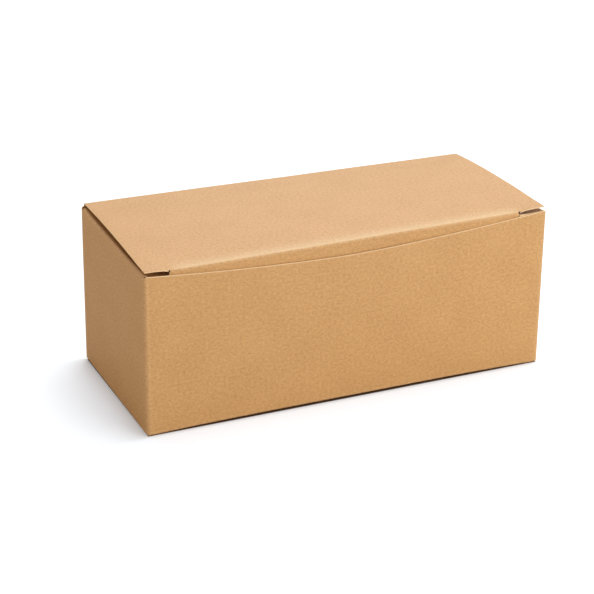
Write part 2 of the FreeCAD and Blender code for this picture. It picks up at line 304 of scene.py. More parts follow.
def floor_shader(tree):
    """White paper that glows for the camera, with painted shade under the box."""
    past_end, past_front = distances_from_box(tree)
    lit, in_sheen, shaded = (
        add_node(tree, "ShaderNodeBsdfDiffuse", Color=colour).outputs[0]
        for colour in (FLOOR_COLOUR, FLOOR_IN_SHEEN, PAINTED_SHADE_UNDER_BOX)
    )
    path = tree.nodes.new("ShaderNodeLightPath")
    paper = mix_shaders(tree, path.outputs["Is Glossy Ray"], lit, in_sheen)
    glow = add_node(tree, "ShaderNodeEmission", Color=FLOOR_TINT)
    tree.links.new(floor_glow(tree, past_end, past_front), glow.inputs["Strength"])
    both = tree.nodes.new("ShaderNodeAddShader")
    tree.links.new(paper, both.inputs[0])
    tree.links.new(glow.outputs[0], both.inputs[1])
    # Inside the box's footprint the floor is painted shade.
    outside = math_node(tree, "MAXIMUM", past_end, past_front)
    clear = math_node(tree, "GREATER_THAN", outside, UNDER_EDGE)
    return mix_shaders(tree, clear, shaded, both.outputs[0])


def make_floor():
    mesh = bpy.data.meshes.new("floor")
    half = FLOOR_SIZE / 2
    corners = [(-half, -half, 0), (half, -half, 0), (half, half, 0), (-half, half, 0)]
    mesh.from_pydata(corners, [], [(0, 1, 2, 3)])
    floor = add_object("floor", mesh)
    material = bpy.data.materials.new("floor_white")
    material.use_nodes = True
    tree = material.node_tree
    tree.nodes.clear()
    out = tree.nodes.new("ShaderNodeOutputMaterial")
    tree.links.new(floor_shader(tree), out.inputs["Surface"])
    mesh.materials.append(material)


make_floor()
print("floor", FLOOR_SIZE, "m wide")

# %% [markdown]
# The sizes of the carton, in millimetres, as a box maker would list them. What the
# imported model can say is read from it. The rest are the values that the solids were
# made from or, for the scoop, the slits and the ears, what the photograph shows. A
# carton could be measured panel by panel, but a list of folds and gaps is shorter,
# and every panel's border then follows from the same few values.

# %% Sizes of the carton
CARD = 0.5
HALF_LENGTH = body_high.x / MM
HALF_DEPTH = body_high.y / MM
LID_TOP = lid_high.z / MM
LID_RISE = 2.0
WALL_TOP = LID_TOP - LID_RISE
CREASE = 1.8
END_FOLD = 2.0
TUCK_FOLD = 1.1
FOOT_FOLD = 1.5
LAYER = 0.65
CUT_GAP = 0.35
SLIT_GAP = 0.3
SLIT_SHIFT = -1.3
EAR_GAP = 0.8
SCOOP_DIP = 6.45
SCOOP_POWER = 1.7
EAR_LENGTH = 15.5
EAR_FRONT = -lid_low.y / MM
TUCK_DEPTH = LID_TOP - lid_low.z / MM
TUCK_TIP_RADIUS = 18.0
DUST_LENGTH = 46.0
HINGE_Y = HALF_DEPTH - CARD / 2
HINGE_Z = LID_TOP - CARD / 2

# The middle of the card lies half its thickness inside each outer face.
MID_X = HALF_LENGTH - CARD / 2
MID_Y = HALF_DEPTH - CARD / 2
CREASE_X = HALF_LENGTH - CREASE
CREASE_Y = HALF_DEPTH - CREASE
SLIT_X = HALF_LENGTH - EAR_LENGTH
carton_size = [round(size, 2) for size in (2 * HALF_LENGTH, 2 * HALF_DEPTH, LID_TOP)]
print("carton of", carton_size, "mm")

# %% [markdown]
# A folded sheet in code is a set of grids. One plane could be bent by modifiers, but
# it would stretch where three folds meet, so each panel is made where it belongs.
# `weave` makes one grid: for each row and column it asks a small function for a
# point, and grids that share a border share its points, so that the card runs on
# without a seam. Each point also carries its place on the flat blank, which the
# paper's grain follows, and how much it lies on a crease, which the wear follows.

# %% Weaving panels into one sheet
WELD_DIGITS = 3
CREASE_REACH = 1.2


class Sheet:
    """Panels of card, welded where their borders meet."""

    def __init__(self):
        self.points = []
        self.known = {}
        self.folds = []
        self.faces = []
        self.blank = []

    def point(self, place, fold):
        key = tuple(round(value, WELD_DIGITS) for value in place)
        if key not in self.known:
            self.known[key] = len(self.points)
            self.points.append(Vector(place))
            self.folds.append(0.0)
        index = self.known[key]
        self.folds[index] = max(self.folds[index], fold)
        return index

    def weave(self, columns, rows, place, keep=None):
        """place(column, row) gives x, y, z, across, along and fold, in millimetres."""
        grid = []
        for row in rows:
            line = []
            for column in columns:
                x, y, z, across, along, fold = place(column, row)
                line.append((self.point((x, y, z), fold), across, along))
            grid.append(line)
        for j in range(len(rows) - 1):
            for i in range(len(columns) - 1):
                if keep and not keep(columns[i], columns[i + 1], rows[j], rows[j + 1]):
                    continue
                corners = [grid[j][i], grid[j][i + 1], grid[j + 1][i + 1], grid[j + 1][i]]
                if len({corner[0] for corner in corners}) < len(corners):
                    continue
                self.faces.append([corner[0] for corner in corners])
                self.blank.append([corner[1:] for corner in corners])


def steps(first, last, count):
    return [first + (last - first) * i / count for i in range(count + 1)]


def nearness(distance):
    """1 on a crease, falling to 0 at the edge of the worn band beside it."""
    return max(0.0, 1.0 - abs(distance) / CREASE_REACH)


FOLD_STEPS = 8
quarter = steps(0.0, math.pi / 2, FOLD_STEPS)
print("each right-angle fold has", FOLD_STEPS, "steps")

# %% [markdown]
# No folded carton is perfectly true. The photographed one is twisted: its top is a
# millimetre high at one pair of corners and low at the other. Its walls belly, the
# card ripples by tenths of a millimetre, and the long feet arch. The shaded end leans
# in at the back, where its foot does not quite touch the table. This could be
# sculpted, but not twice alike, so one function moves every point of every panel,
# and neighbours still meet.

# %% Twist, belly and ripple
TWIST = 0.94
BELLY = 0.35
END_BELLY = BELLY / 2
RIPPLE = 0.14
RIPPLE_LENGTH = 55.0
# Without a seed of its own, this noise would differ from run to run.
RIPPLE_SEED = 1
noise.seed_set(RIPPLE_SEED)
RIPPLE_FULL_HEIGHT = 12.0
FOOT_LIFT = 1.2
FOOT_LIFT_HEIGHT = 12.0
FOOT_LIFT_DEPTH = 16.0
FOOT_LIFT_POWER = 4
END_LEAN = 0.45
END_FOOT_LIFT = 0.8


def relaxed(place):
    """A point of the true carton, moved to where the tired card has it."""
    x, y, z = place
    share_x, share_y, share_z = x / HALF_LENGTH, y / HALF_DEPTH, z / LID_TOP
    rise = -TWIST * share_x * share_y * share_z
    waist = math.sin(math.pi * min(share_z, 1))
    bow_y = BELLY * share_y * (1 - share_x**2) * waist
    bow_x = END_BELLY * share_x * (1 - share_y**2) * waist
    end_lean = END_LEAN * max(-share_x, 0.0) * (1 + share_y) / 2 * share_z**2
    grounded = min(1.0, z / RIPPLE_FULL_HEIGHT)
    swell = Vector(noise.noise_vector(Vector(place) / RIPPLE_LENGTH)) * RIPPLE * grounded
    return Vector((x + bow_x + end_lean, y + bow_y, z + rise + foot_lift(x, y, z))) + swell


def foot_lift(x, y, z):
    """The long feet arch off the table, and one back corner does not quite touch it."""
    along = 1 - (x / HALF_LENGTH) ** FOOT_LIFT_POWER
    low = max(0.0, 1 - z / FOOT_LIFT_HEIGHT)
    near_foot = max(0.0, 1 - (HALF_DEPTH - abs(y)) / FOOT_LIFT_DEPTH)
    corner = max(-x / HALF_LENGTH, 0.0) ** FOOT_LIFT_POWER * (1 + y / HALF_DEPTH) / 2
    return FOOT_LIFT * along * low * near_foot + END_FOOT_LIFT * corner * low


print("corner lift", TWIST, "mm, foot arch", FOOT_LIFT, "mm")

# %% [markdown]
# All four walls share one list of heights. The long walls share their columns with
# the lid and their bottom panels, and the end walls theirs with their own flaps,
# because two grids only weld where their rows and columns meet. Even steps would be
# simpler, but then the folds would be coarse or the mesh huge. So rows crowd in the
# foot's fold, below the rim and in the narrow strip along it that carries the rim's
# painted highlight.

# %% Heights and columns that the walls share
# Width of the strip under the rim over which its painted highlight fades.
RIM_HIGHLIGHT_STRIP = 0.55
END_TOP = WALL_TOP - END_FOLD
FOOT_ROWS = [0.3, 0.6, 1.0, FOOT_FOLD, FOOT_FOLD + CREASE_REACH, 4.2]
FLAT_ROWS = steps(8.0, 80.0, 18) + [84.0]
RIM_ROWS = [END_TOP - CREASE_REACH, END_TOP, 88.2, WALL_TOP - RIM_HIGHLIGHT_STRIP, WALL_TOP]
heights = sorted(FOOT_ROWS + FLAT_ROWS + RIM_ROWS)

TONGUE_HALF = 30.0


def mirrored(values):
    """Places on one side of the middle, and the same on the other."""
    return [-value for value in reversed(values)] + [0.0] + list(values)


flap_x = CREASE_X - CUT_GAP
flap_y = CREASE_Y - CUT_GAP
WINDOW_COLUMNS = steps(6.0, 24.0, 3) + [TONGUE_HALF, 32.5, 38.0]
FLAT_COLUMNS = steps(44.0, 92.0, 8) + [96.0]
EAR_COLUMNS = [SLIT_X, SLIT_X + EAR_GAP, 103.0, 107.0, 110.0, 111.8, flap_x, CREASE_X]
wall_columns = mirrored(WINDOW_COLUMNS + FLAT_COLUMNS + EAR_COLUMNS)
end_columns = mirrored(steps(5.0, 40.0, 7) + [44.0, 47.2, flap_y, CREASE_Y])
print(len(heights), "rows,", len(wall_columns), "columns on the long walls")

# %% [markdown]
# Where a wall runs on into a flap, its card follows a quarter circle and then lies
# flat. A Bevel modifier could round a sharp fold, but it would lose the length of
# the card, which the grain follows. `turned` walks along the true path: round the
# fold by an angle, then on by a reach. It gives how far in from the wall's face a
# point is, and how high.

# %% A path from a wall into a flap
def turned(angle, reach, radius, level, up):
    """Inward distance and height on a fold's arc, or reach past its end."""
    mid = radius - CARD / 2
    inward = CARD / 2 + mid - mid * math.cos(angle) + reach
    height = level - up * radius + up * mid * math.sin(angle)
    return inward, height


def fold_rows(flap_reaches):
    """Rows of a fold and its flap, as pairs of an angle and a reach."""
    return [(angle, 0.0) for angle in quarter] + [(math.pi / 2, reach) for reach in flap_reaches]


def path_length(angle, reach, radius):
    return angle * (radius - CARD / 2) + reach


print("a fold's arc is", round(path_length(math.pi / 2, 0, END_FOLD), 2), "mm long")

# %% [markdown]
# The front wall and its two corner creases come first. On the blank the walls stand
# side by side in one strip, and every point keeps its distance along that strip for
# the grain. The corners are quarter circles from foot to rim. At the foot they draw
# in like small feet, which is where the dark line under the photographed front dies
# out, and at the rim the front ones dip and the back one stands a little proud. The
# scooped edge could be a Boolean cut. Rows squeezed under its curve follow the edge
# instead, and so does the painted highlight along it. The wall leans in on the tuck
# flap behind it.

# %% Corner creases and front wall
crease_arc = (CREASE - CARD / 2) * math.pi / 2
POST_RISE = 0.2
POST_DIP = 0.8
LEAN = 0.27
LEAN_POWER = 3
LEAN_SPAN_POWER = 6


def scoop_top(x):
    """The scooped edge: a wide curve, a little straighter than an arc."""
    return WALL_TOP - SCOOP_DIP * (1 - abs(x / CREASE_X) ** SCOOP_POWER)


def front_place(x, height):
    """Front wall: the shared heights, squeezed under the edge that leans on the tuck."""
    share = (height - FOOT_FOLD) / (WALL_TOP - FOOT_FOLD)
    z = FOOT_FOLD + share * (scoop_top(x) - FOOT_FOLD)
    fold = max(nearness(CREASE_X - abs(x)), nearness(z - FOOT_FOLD))
    lean = LEAN * share**LEAN_POWER * (1 - (x / CREASE_X) ** LEAN_SPAN_POWER)
    return x, lean - MID_Y, z, x, z, fold


def corner_place(side_x, side_y):
    """Maker of the place function for one upright crease."""

    def place(angle, height):
        mid = CREASE - CARD / 2
        tuck_in = FOOT_FOLD - math.sqrt(FOOT_FOLD**2 - max(FOOT_FOLD - height, 0.0) ** 2)
        x = side_x * (CREASE_X + (mid - tuck_in) * math.sin(angle))
        y = side_y * (CREASE_Y + (mid - tuck_in) * math.cos(angle))
        across = side_x * (CREASE_X + angle * mid)
        near_top = (max(height - END_TOP, 0.0) / END_FOLD) ** 2
        if side_y > 0:
            across = side_x * (CREASE_X + 3 * crease_arc + 2 * CREASE_Y - angle * mid)
            z = height + POST_RISE * near_top
        else:
            z = height - POST_DIP * math.sin(angle) ** 2 * near_top
        return x, y, z, across, height, 1.0

    return place


def make_front(sheet):
    rows = [height for height in heights if height >= FOOT_FOLD]
    sheet.weave(wall_columns, rows, front_place)
    for side_x in (-1, 1):
        sheet.weave(quarter, heights, corner_place(side_x, -1))


tray = Sheet()
make_front(tray)
print("front:", len(tray.faces), "faces")

# %% [markdown]
# The end walls run on into the dust flaps at the top, which close the lid's sides
# against dust. A short shoulder beside the fold lies under the lid's ear and keeps
# the tuck flap's end in its place. A flap could be cut out of a plane by hand.
# Here it is a strip whose two edges are functions of the distance from its fold: the
# shoulder, then a set-back edge, then a rounded tip. The fold sags between its
# corners, and the left flap droops at its front, as the dark slits under the
# photographed lid show.

# %% End walls with their dust flaps
SEAM_SIDE = 1
RAW_EDGE_GAP = 0.4
DUST_SETBACK = 1.7
SHOULDER_SETBACK = 0.3
SHOULDER_START = 0.8
SHOULDER_GAP = 0.8
NOTCH_STEP = 0.05
END_SINK = 0.85
END_SINK_POWER = 6
END_SINK_RISE = 4
END_WEAR = 0.3
DUST_DIP = 1.2
DUST_DIP_REACH = 4.0
DUST_DIP_POWER = 4
DUST_TIP_RADIUS = 12.0
DUST_BACK_RADIUS = 3.0
DUST_SAG = 0.8
DUST_DROOP = {-1: 1.1, 1: 0.0}
DUST_DROOP_REACH = 1.0
DUST_DROOP_POWER = 3
DUST_NEAR_ROWS = [2.0, 4.0, 8.0]
DUST_FLAT_START = 16.0
DUST_FLAT_STEPS = 5


def rounding(distance, length, radius):
    """How far a rounded corner pulls an edge in, near the end of a flap."""
    past = max(0.0, distance - (length - radius))
    return radius - math.sqrt(max(radius**2 - past**2, 0.0))


def shoulder_end(side):
    """The lock shoulder stops just short of the tuck flap's end."""
    return HALF_LENGTH - END_FOLD - (SLIT_X + side * SLIT_SHIFT + SHOULDER_GAP)


def dust_edges(side, reach):
    """Front and back edge of a dust flap, at a distance from its fold."""
    length = DUST_LENGTH - END_FOLD
    front = MID_Y - CARD / 2 - DUST_SETBACK
    if SHOULDER_START < reach <= shoulder_end(side):
        front = MID_Y - CARD / 2 - SHOULDER_SETBACK
    front -= rounding(reach, length, DUST_TIP_RADIUS)
    return -front, flap_y - rounding(reach, length, DUST_BACK_RADIUS)


def end_sink(y):
    """The end wall's top fold sags between its two corners."""
    return END_SINK * (1 - (y / CREASE_Y) ** END_SINK_POWER)


def end_wall_place(side):
    def place(y, height):
        across = side * (CREASE_X + crease_arc + CREASE_Y + y)
        upright = nearness(CREASE_Y - abs(y)) if side != SEAM_SIDE or y < 0 else 0.0
        fold = max(upright, END_WEAR * nearness(END_TOP - height), nearness(height - FOOT_FOLD))
        z = height - max(end_sink(y), 0.0) * (height / END_TOP) ** END_SINK_RISE
        return side * MID_X, y, z, across, height, fold

    return place


def dust_sink(side, y, share, reach):
    """How far a point of a dust flap lies below its true plane."""
    middle = 1 - (y / flap_y) ** DUST_DIP_POWER
    sag = DUST_SAG * math.sin(math.pi * reach / (DUST_LENGTH - END_FOLD))
    dip = DUST_DIP * middle * (1 - math.exp(-reach / DUST_DIP_REACH))
    front = (1 - share) ** DUST_DROOP_POWER
    droop = DUST_DROOP[side] * front * (1 - math.exp(-reach / DUST_DROOP_REACH))
    return sag, dip, end_sink(y), droop


def dust_place(side):
    def place(y, row):
        angle, reach = row
        inward, z = turned(angle, reach, END_FOLD, WALL_TOP, 1)
        low, high = dust_edges(side, reach) if reach > 0 else (-flap_y, flap_y)
        share = (y + flap_y) / (2 * flap_y)
        for sink in dust_sink(side, y, share, reach):
            z -= sink
        along = END_TOP + path_length(angle, reach, END_FOLD)
        across = side * (CREASE_X + crease_arc + CREASE_Y + y)
        fold = END_WEAR * (1.0 if reach == 0 else nearness(reach))
        x = side * (HALF_LENGTH - inward)
        return x, low + (high - low) * share, z, across, along, fold

    return place


def make_ends(sheet):
    length = DUST_LENGTH - END_FOLD
    tip = [length - DUST_TIP_RADIUS * (1 - math.sin(angle)) for angle in quarter[1:]]
    rows = [height for height in heights if FOOT_FOLD <= height <= END_TOP]
    for side in (-1, 1):
        raw_edge = [HALF_DEPTH - RAW_EDGE_GAP] if side == SEAM_SIDE else []
        sheet.weave(end_columns + raw_edge, rows, end_wall_place(side))
        end = shoulder_end(side)
        reaches = [SHOULDER_START / 2, SHOULDER_START, SHOULDER_START + NOTCH_STEP]
        reaches += DUST_NEAR_ROWS + [end, end + NOTCH_STEP]
        reaches += steps(DUST_FLAT_START, length - DUST_TIP_RADIUS, DUST_FLAT_STEPS) + tip
        sheet.weave(end_columns[1:-1], fold_rows(reaches), dust_place(side))
    sheet.weave(quarter, heights, corner_place(-SEAM_SIDE, 1))


make_ends(tray)
print("with the ends:", len(tray.faces), "faces")

# %% [markdown]
# The bottom is a snap lock, the usual one for such a carton and hidden in the
# photograph. The inner panel comes from the back wall, the side panels lie under it,
# and the outer panel's tongue comes up through a window in the inner panel. One flat
# plate would look the same from above, but an open lid or a lifted box shows the
# layers. They lie one above the other by the card's thickness and a little air.

# %% Bottom panels of the tray
FRONT_PANEL_REACH = 56.0
BACK_PANEL_REACH = 73.0
END_PANEL_REACH = 68.0
PANEL_TAPER = 8.0
END_PANEL_TAPER = 24.0
TONGUE_FLAT = 7.0
TONGUE_SLOPE = 9.0
TONGUE_TIP = 10.0
TONGUE_CORNER = 5.0
WINDOW_MARGIN = 2.0
CORNER_CUT = 4.0
CORNER_CUT_LENGTH = 5.0
LAYER_CLIMB = 5.0
CLIMB_ROWS = [0.5, 1.2, 3.0, LAYER_CLIMB]
PANEL_FLAT_START = 9.0
PANEL_STEPS = 8
BEND_ROW = 1.0
TONGUE_SLOPE_STEPS = 5
TONGUE_TIP_STEPS = 6
END_ON_BLANK = 300.0


def narrowed(position, half, reach, length, taper):
    """A column's place on a panel that narrows towards its free edge."""
    return position * (1 - taper / half * reach / length)


def layer_level(layer, reach):
    """Every panel leaves its wall at the table and climbs to its own layer."""
    return layer * LAYER * min(1.0, reach / LAYER_CLIMB)


def long_panel_place(side, layer, length):
    """Bottom panel hinged on the front (side -1) or back wall (side 1)."""

    def place(x, row):
        angle, reach = row
        inward, z = turned(angle, reach, FOOT_FOLD, layer_level(layer, reach), -1)
        cut = CORNER_CUT / flap_x * min(1.0, reach / CORNER_CUT_LENGTH)
        x_here = narrowed(x * (1 - cut), flap_x, reach, length, PANEL_TAPER)
        along = -path_length(angle, reach, FOOT_FOLD)
        fold = 1.0 if reach == 0 else nearness(reach)
        return x_here, side * (HALF_DEPTH - inward), z, x, along, fold

    return place


def side_panel_place(side, length):
    def place(y, row):
        angle, reach = row
        inward, z = turned(angle, reach, FOOT_FOLD, layer_level(1, reach), -1)
        inset = CUT_GAP if reach > 0 else 0.0
        half = flap_y - inset
        y_here = narrowed(y * half / flap_y, flap_y, reach, length, END_PANEL_TAPER)
        along = -path_length(angle, reach, FOOT_FOLD)
        fold = 1.0 if reach == 0 else nearness(reach)
        x = side * (HALF_LENGTH - inward)
        return x, y_here, z, y + side * END_ON_BLANK, along, fold

    return place


def tongue_place(x, reach):
    """The outer panel's tongue: flat, up a slope, then flat above the inner panel."""
    start = FRONT_PANEL_REACH - HALF_DEPTH
    climb = min(max((reach - TONGUE_FLAT) / TONGUE_SLOPE, 0.0), 1.0)
    z = CARD / 2 + 3 * LAYER * climb
    corner = rounding(reach, TONGUE_FLAT + TONGUE_SLOPE + TONGUE_TIP, TONGUE_CORNER)
    shrink = (TONGUE_HALF - corner) / TONGUE_HALF
    return x * shrink, start + reach, z, x, -FRONT_PANEL_REACH - reach, 0.0


def make_outer_bottom(sheet):
    length = FRONT_PANEL_REACH - FOOT_FOLD
    rows = fold_rows(CLIMB_ROWS + steps(PANEL_FLAT_START, length, PANEL_STEPS))
    sheet.weave(wall_columns[1:-1], rows, long_panel_place(-1, 0, length))
    slope_end = TONGUE_FLAT + TONGUE_SLOPE
    reaches = [0.0, 3 * BEND_ROW, TONGUE_FLAT, TONGUE_FLAT + BEND_ROW]
    reaches += steps(TONGUE_FLAT + 2 * BEND_ROW, slope_end, TONGUE_SLOPE_STEPS)
    reaches += [slope_end + BEND_ROW]
    reaches += steps(slope_end + 3 * BEND_ROW, slope_end + TONGUE_TIP, TONGUE_TIP_STEPS)
    inner = (1 - CORNER_CUT / flap_x) * (1 - PANEL_TAPER / flap_x)
    columns = [x * inner for x in wall_columns if abs(x) <= TONGUE_HALF]
    sheet.weave(columns, reaches, tongue_place)


def make_side_bottoms(sheet):
    length = END_PANEL_REACH - FOOT_FOLD
    rows = fold_rows(CLIMB_ROWS + steps(PANEL_FLAT_START, length, PANEL_STEPS))
    for side in (-1, 1):
        sheet.weave(end_columns[1:-1], rows, side_panel_place(side, length))


make_outer_bottom(tray)
make_side_bottoms(tray)
print("with the bottom:", len(tray.faces), "faces")

# %% [markdown]
# The second sheet is the back wall, the lid and the tuck flap, in one run of card.
# The lid could be a stiff plate on an axis, but real card bends at its crease. So it
# is a piece of its own with the back wall: its points follow the tray below the back
# crease and the lid beyond it. A glue flap turns in at one of its corners and lies
# inside the end wall, with its ends cut on a slant.

# %% Back wall and inner bottom panel
GLUE_GAP = 0.05
GLUE_MID = CREASE - CARD / 2 - CARD - GLUE_GAP
GLUE_WIDTH = 16.0
GLUE_STEPS = 4
GLUE_LOW = 7.0
GLUE_HIGH = 83.0
BACK_CREASE = 1.0
BACK_ON_BLANK = 600.0
WINDOW_SLACK = 1.0
WINDOW_NEXT_ROW = 6.0
WINDOW_STEPS = 4
ROW_SLACK = 0.01
RIM_STEP = 0.5
back_mid = BACK_CREASE - CARD / 2
back_crease_z = HINGE_Z - back_mid
back_crease_y = HINGE_Y - back_mid


def back_place(x, height):
    upright = nearness(CREASE_X - abs(x))
    fold = max(upright, nearness(height - FOOT_FOLD), nearness(back_crease_z - height))
    return x, MID_Y, height, x + BACK_ON_BLANK, height, fold


def in_window(x_low, x_high, row_low, row_high):
    """False for the cells of the inner panel that its window takes out."""
    half = TONGUE_HALF + WINDOW_MARGIN + WINDOW_SLACK
    near, far = window_reaches()
    inside = x_low > -half and x_high < half
    return not (inside and row_low[1] >= near - ROW_SLACK and row_high[1] <= far + ROW_SLACK)


def window_reaches():
    """The window's edges, as distances along the inner panel from its fold."""
    foot = FRONT_PANEL_REACH - HALF_DEPTH + TONGUE_FLAT
    far = HALF_DEPTH - FOOT_FOLD - foot
    return far - TONGUE_SLOPE - WINDOW_MARGIN, far


def make_back(sheet):
    rows = [height for height in heights if height >= FOOT_FOLD]
    rows += [WALL_TOP + RIM_STEP, back_crease_z]
    sheet.weave(wall_columns, rows, back_place)
    length = BACK_PANEL_REACH - FOOT_FOLD
    near, far = window_reaches()
    reaches = CLIMB_ROWS + steps(PANEL_FLAT_START, near, WINDOW_STEPS) + [far]
    reaches += steps(far + WINDOW_NEXT_ROW, length, WINDOW_STEPS)
    place = long_panel_place(1, 2, length)
    sheet.weave(wall_columns[1:-1], fold_rows(reaches), place, in_window)


def glue_corner_place(angle, height):
    """The crease at the seam, turned tighter so that its flap lies inside the wall."""
    x = SEAM_SIDE * (CREASE_X + GLUE_MID * math.sin(angle))
    y = MID_Y - GLUE_MID + GLUE_MID * math.cos(angle)
    return x, y, height, BACK_ON_BLANK + x, height, 1.0


def glue_flap_place(distance, height):
    """The flap glued inside the end wall, with its two ends cut on a slant."""
    middle = (GLUE_LOW + GLUE_HIGH) / 2
    z = middle + (height - middle) * (1 - distance / (GLUE_HIGH - GLUE_LOW))
    x = SEAM_SIDE * (CREASE_X + GLUE_MID)
    across = BACK_ON_BLANK + x + distance
    return x, MID_Y - GLUE_MID - distance, z, across, z, nearness(distance)


def make_seam(sheet):
    rows = [height for height in heights if height >= FOOT_FOLD]
    sheet.weave(quarter, rows, glue_corner_place)
    rows = [height for height in rows if GLUE_LOW <= height <= GLUE_HIGH]
    columns = steps(0.0, CREASE_REACH, 2)
    columns += steps(GLUE_WIDTH / GLUE_STEPS, GLUE_WIDTH, GLUE_STEPS)
    sheet.weave(columns, rows, glue_flap_place)


cover = Sheet()
make_back(cover)
make_seam(cover)
print("back wall:", len(cover.faces), "faces")

# %% [markdown]
# The lid panel is crowned, and its last few millimetres bend down in a wide arc to
# the tuck fold. That bend stops at a narrow slit near each end, beyond which the lid
# ends in a flat ear whose corner springs up. A lattice could bend a flat lid like
# this. Here the height is one short formula, so that the slits stay sharp. The
# columns are the back wall's, moved out to the lid's own width just past the crease.
# The cut is a little askew, as the photographed one is: narrower at the back, and
# shifted sideways.

# %% Lid, ears and back crease
LID_SIDE_GAP = 0.95
LID_SIDE_GAP_BACK = 1.5
LID_HALF = HALF_LENGTH - LID_SIDE_GAP
LID_HALF_BACK = HALF_LENGTH - LID_SIDE_GAP_BACK
LID_SHOULDER = 1.2
LID_RACK = 0.25
LID_RACK_FRONT = -0.3
SLIT_SHIFT_DEPTH = 60.0
CROWN = 1.2
CROWN_POWER = 2.6
EAR_RISE = 0.5
EAR_RISE_DEPTH = 12.0
EAR_FLAT = 5.0
NOSE_RADIUS = 26.0
NOSE_ANGLE = math.radians(12)
NOSE_LEAD = 2.0
SWING_GAP = 0.3
SHOULDER_ROWS = (0.0, 0.4, 0.9, 1.6, 2.5, 4.0)
LID_FLAT_START = 43.0
LID_FLAT_STEPS = 24
EAR_STEPS = 4

# The fold is an arc about BEND, inside the circle that the tuck flap swings on.
swing = HINGE_Y + HALF_DEPTH - CARD - SWING_GAP
fold_mid = TUCK_FOLD - CARD / 2
nose_drop = NOSE_RADIUS * (1 - math.cos(NOSE_ANGLE))
bend_drop = nose_drop + fold_mid * math.cos(NOSE_ANGLE)
BEND_Y = HINGE_Y - math.sqrt((swing - TUCK_FOLD) ** 2 - bend_drop**2)
BEND_Z = HINGE_Z - bend_drop
fold_start_y = BEND_Y - fold_mid * math.sin(NOSE_ANGLE)
nose_start_y = fold_start_y + NOSE_RADIUS * math.sin(NOSE_ANGLE)


def lid_column(x, y):
    """A wall column's place on the lid, which widens and is racked a little."""
    depth = (back_crease_y - y) / (2 * back_crease_y)
    half = LID_HALF_BACK + (LID_HALF - LID_HALF_BACK) * depth
    outer = max(abs(x) - SLIT_X - EAR_GAP, 0.0) / (CREASE_X - SLIT_X - EAR_GAP)
    shoulder = math.sin(min(max((back_crease_y - y) / LID_SHOULDER, 0.0), 1.0) * math.pi / 2)
    widened = math.copysign((half - CREASE_X) * outer * shoulder, x)
    shifted = SLIT_SHIFT * (1 - outer) * min(1.0, (back_crease_y - y) / SLIT_SHIFT_DEPTH)
    rack = LID_RACK + (LID_RACK_FRONT - LID_RACK) * depth
    return x + widened + shifted + rack * outer * shoulder


def lid_height(x, y):
    """Crowned in the middle, and bent down in front, but for the flat ears."""
    half = back_crease_y if y > 0 else -fold_start_y
    crown = CROWN * max(0.0, 1 - abs(y / half) ** CROWN_POWER)
    past = max(0.0, nose_start_y - y)
    past_fold = max(0.0, fold_start_y - y)
    on_nose = min(past, nose_start_y - fold_start_y)
    drop = NOSE_RADIUS - math.sqrt(NOSE_RADIUS**2 - on_nose**2) + past_fold * math.tan(NOSE_ANGLE)
    flat = min(max(abs(x) - SLIT_X, 0.0) / EAR_FLAT, 1.0)
    return HINGE_Z + crown - drop * (1 - flat * flat * (3 - 2 * flat))


def lid_place(x, y):
    """The flat of the lid and its ears, which spring up a little at their corners."""
    near_front = max(0.0, 1 - (y + EAR_FRONT) / EAR_RISE_DEPTH)
    spring = EAR_RISE * max(0.0, (abs(x) - SLIT_X) / EAR_LENGTH) * near_front
    at_tuck = nearness(y - fold_start_y) if abs(x) <= SLIT_X else 0
    fold = max(nearness(y - back_crease_y), at_tuck)
    along = back_crease_z + back_mid * math.pi / 2 + back_crease_y - y
    return lid_column(x, y), y, lid_height(x, y) + spring, x + BACK_ON_BLANK, along, fold


def back_crease_place(x, angle):
    y = back_crease_y + back_mid * math.cos(angle)
    z = back_crease_z + back_mid * math.sin(angle)
    return x, y, z, x + BACK_ON_BLANK, back_crease_z + back_mid * angle, 1.0


def make_lid(sheet):
    sheet.weave(wall_columns, quarter, back_crease_place)
    rows = [back_crease_y - step for step in SHOULDER_ROWS]
    rows += steps(LID_FLAT_START, nose_start_y + NOSE_LEAD, LID_FLAT_STEPS)
    rows += steps(nose_start_y, fold_start_y, FOLD_STEPS)
    sheet.weave(wall_columns, rows, lid_place)
    ear_rows = steps(fold_start_y, -EAR_FRONT, EAR_STEPS)
    for side in (-1, 1):
        ear = [x for x in wall_columns if side * x > SLIT_X]
        sheet.weave(ear, ear_rows, lid_place)


make_lid(cover)
print("with the lid:", len(cover.faces), "faces")

# %% [markdown]
# The tuck flap turns down round the fold and follows a wide arc about the lid's
# hinge, which is the path it slides along behind the front wall. A flat flap would
# be simpler, but stiff as it is here it would cut the wall as the lid opens. Its
# corners are rounded, and its ends flare a little where they leave the slits.

# %% Tuck flap
TUCK_FLARE = 0.8
TUCK_FLARE_START = 1.2
TUCK_FLARE_END = 4.5
TUCK_FLAT_ROWS = [4.0, 5.5]
TUCK_ON_BLANK = 200.0
bend_end = math.pi / 2 + math.asin(bend_drop / (swing - TUCK_FOLD))
mid_swing = swing - CARD / 2


def tuck_half(depth):
    """Half the flap's width at a depth below the top of the lid."""
    corner = rounding(depth, TUCK_DEPTH, TUCK_TIP_RADIUS)
    past = (depth - TUCK_FLARE_START) / (TUCK_FLARE_END - TUCK_FLARE_START)
    flare = TUCK_FLARE * math.sin(math.pi * min(max(past, 0.0), 1.0))
    return SLIT_X - SLIT_GAP - corner + flare


def tuck_column(x, z):
    """A lid column's place on the tuck flap, at a height."""
    return x * tuck_half(HINGE_Z - z) / SLIT_X + SLIT_SHIFT


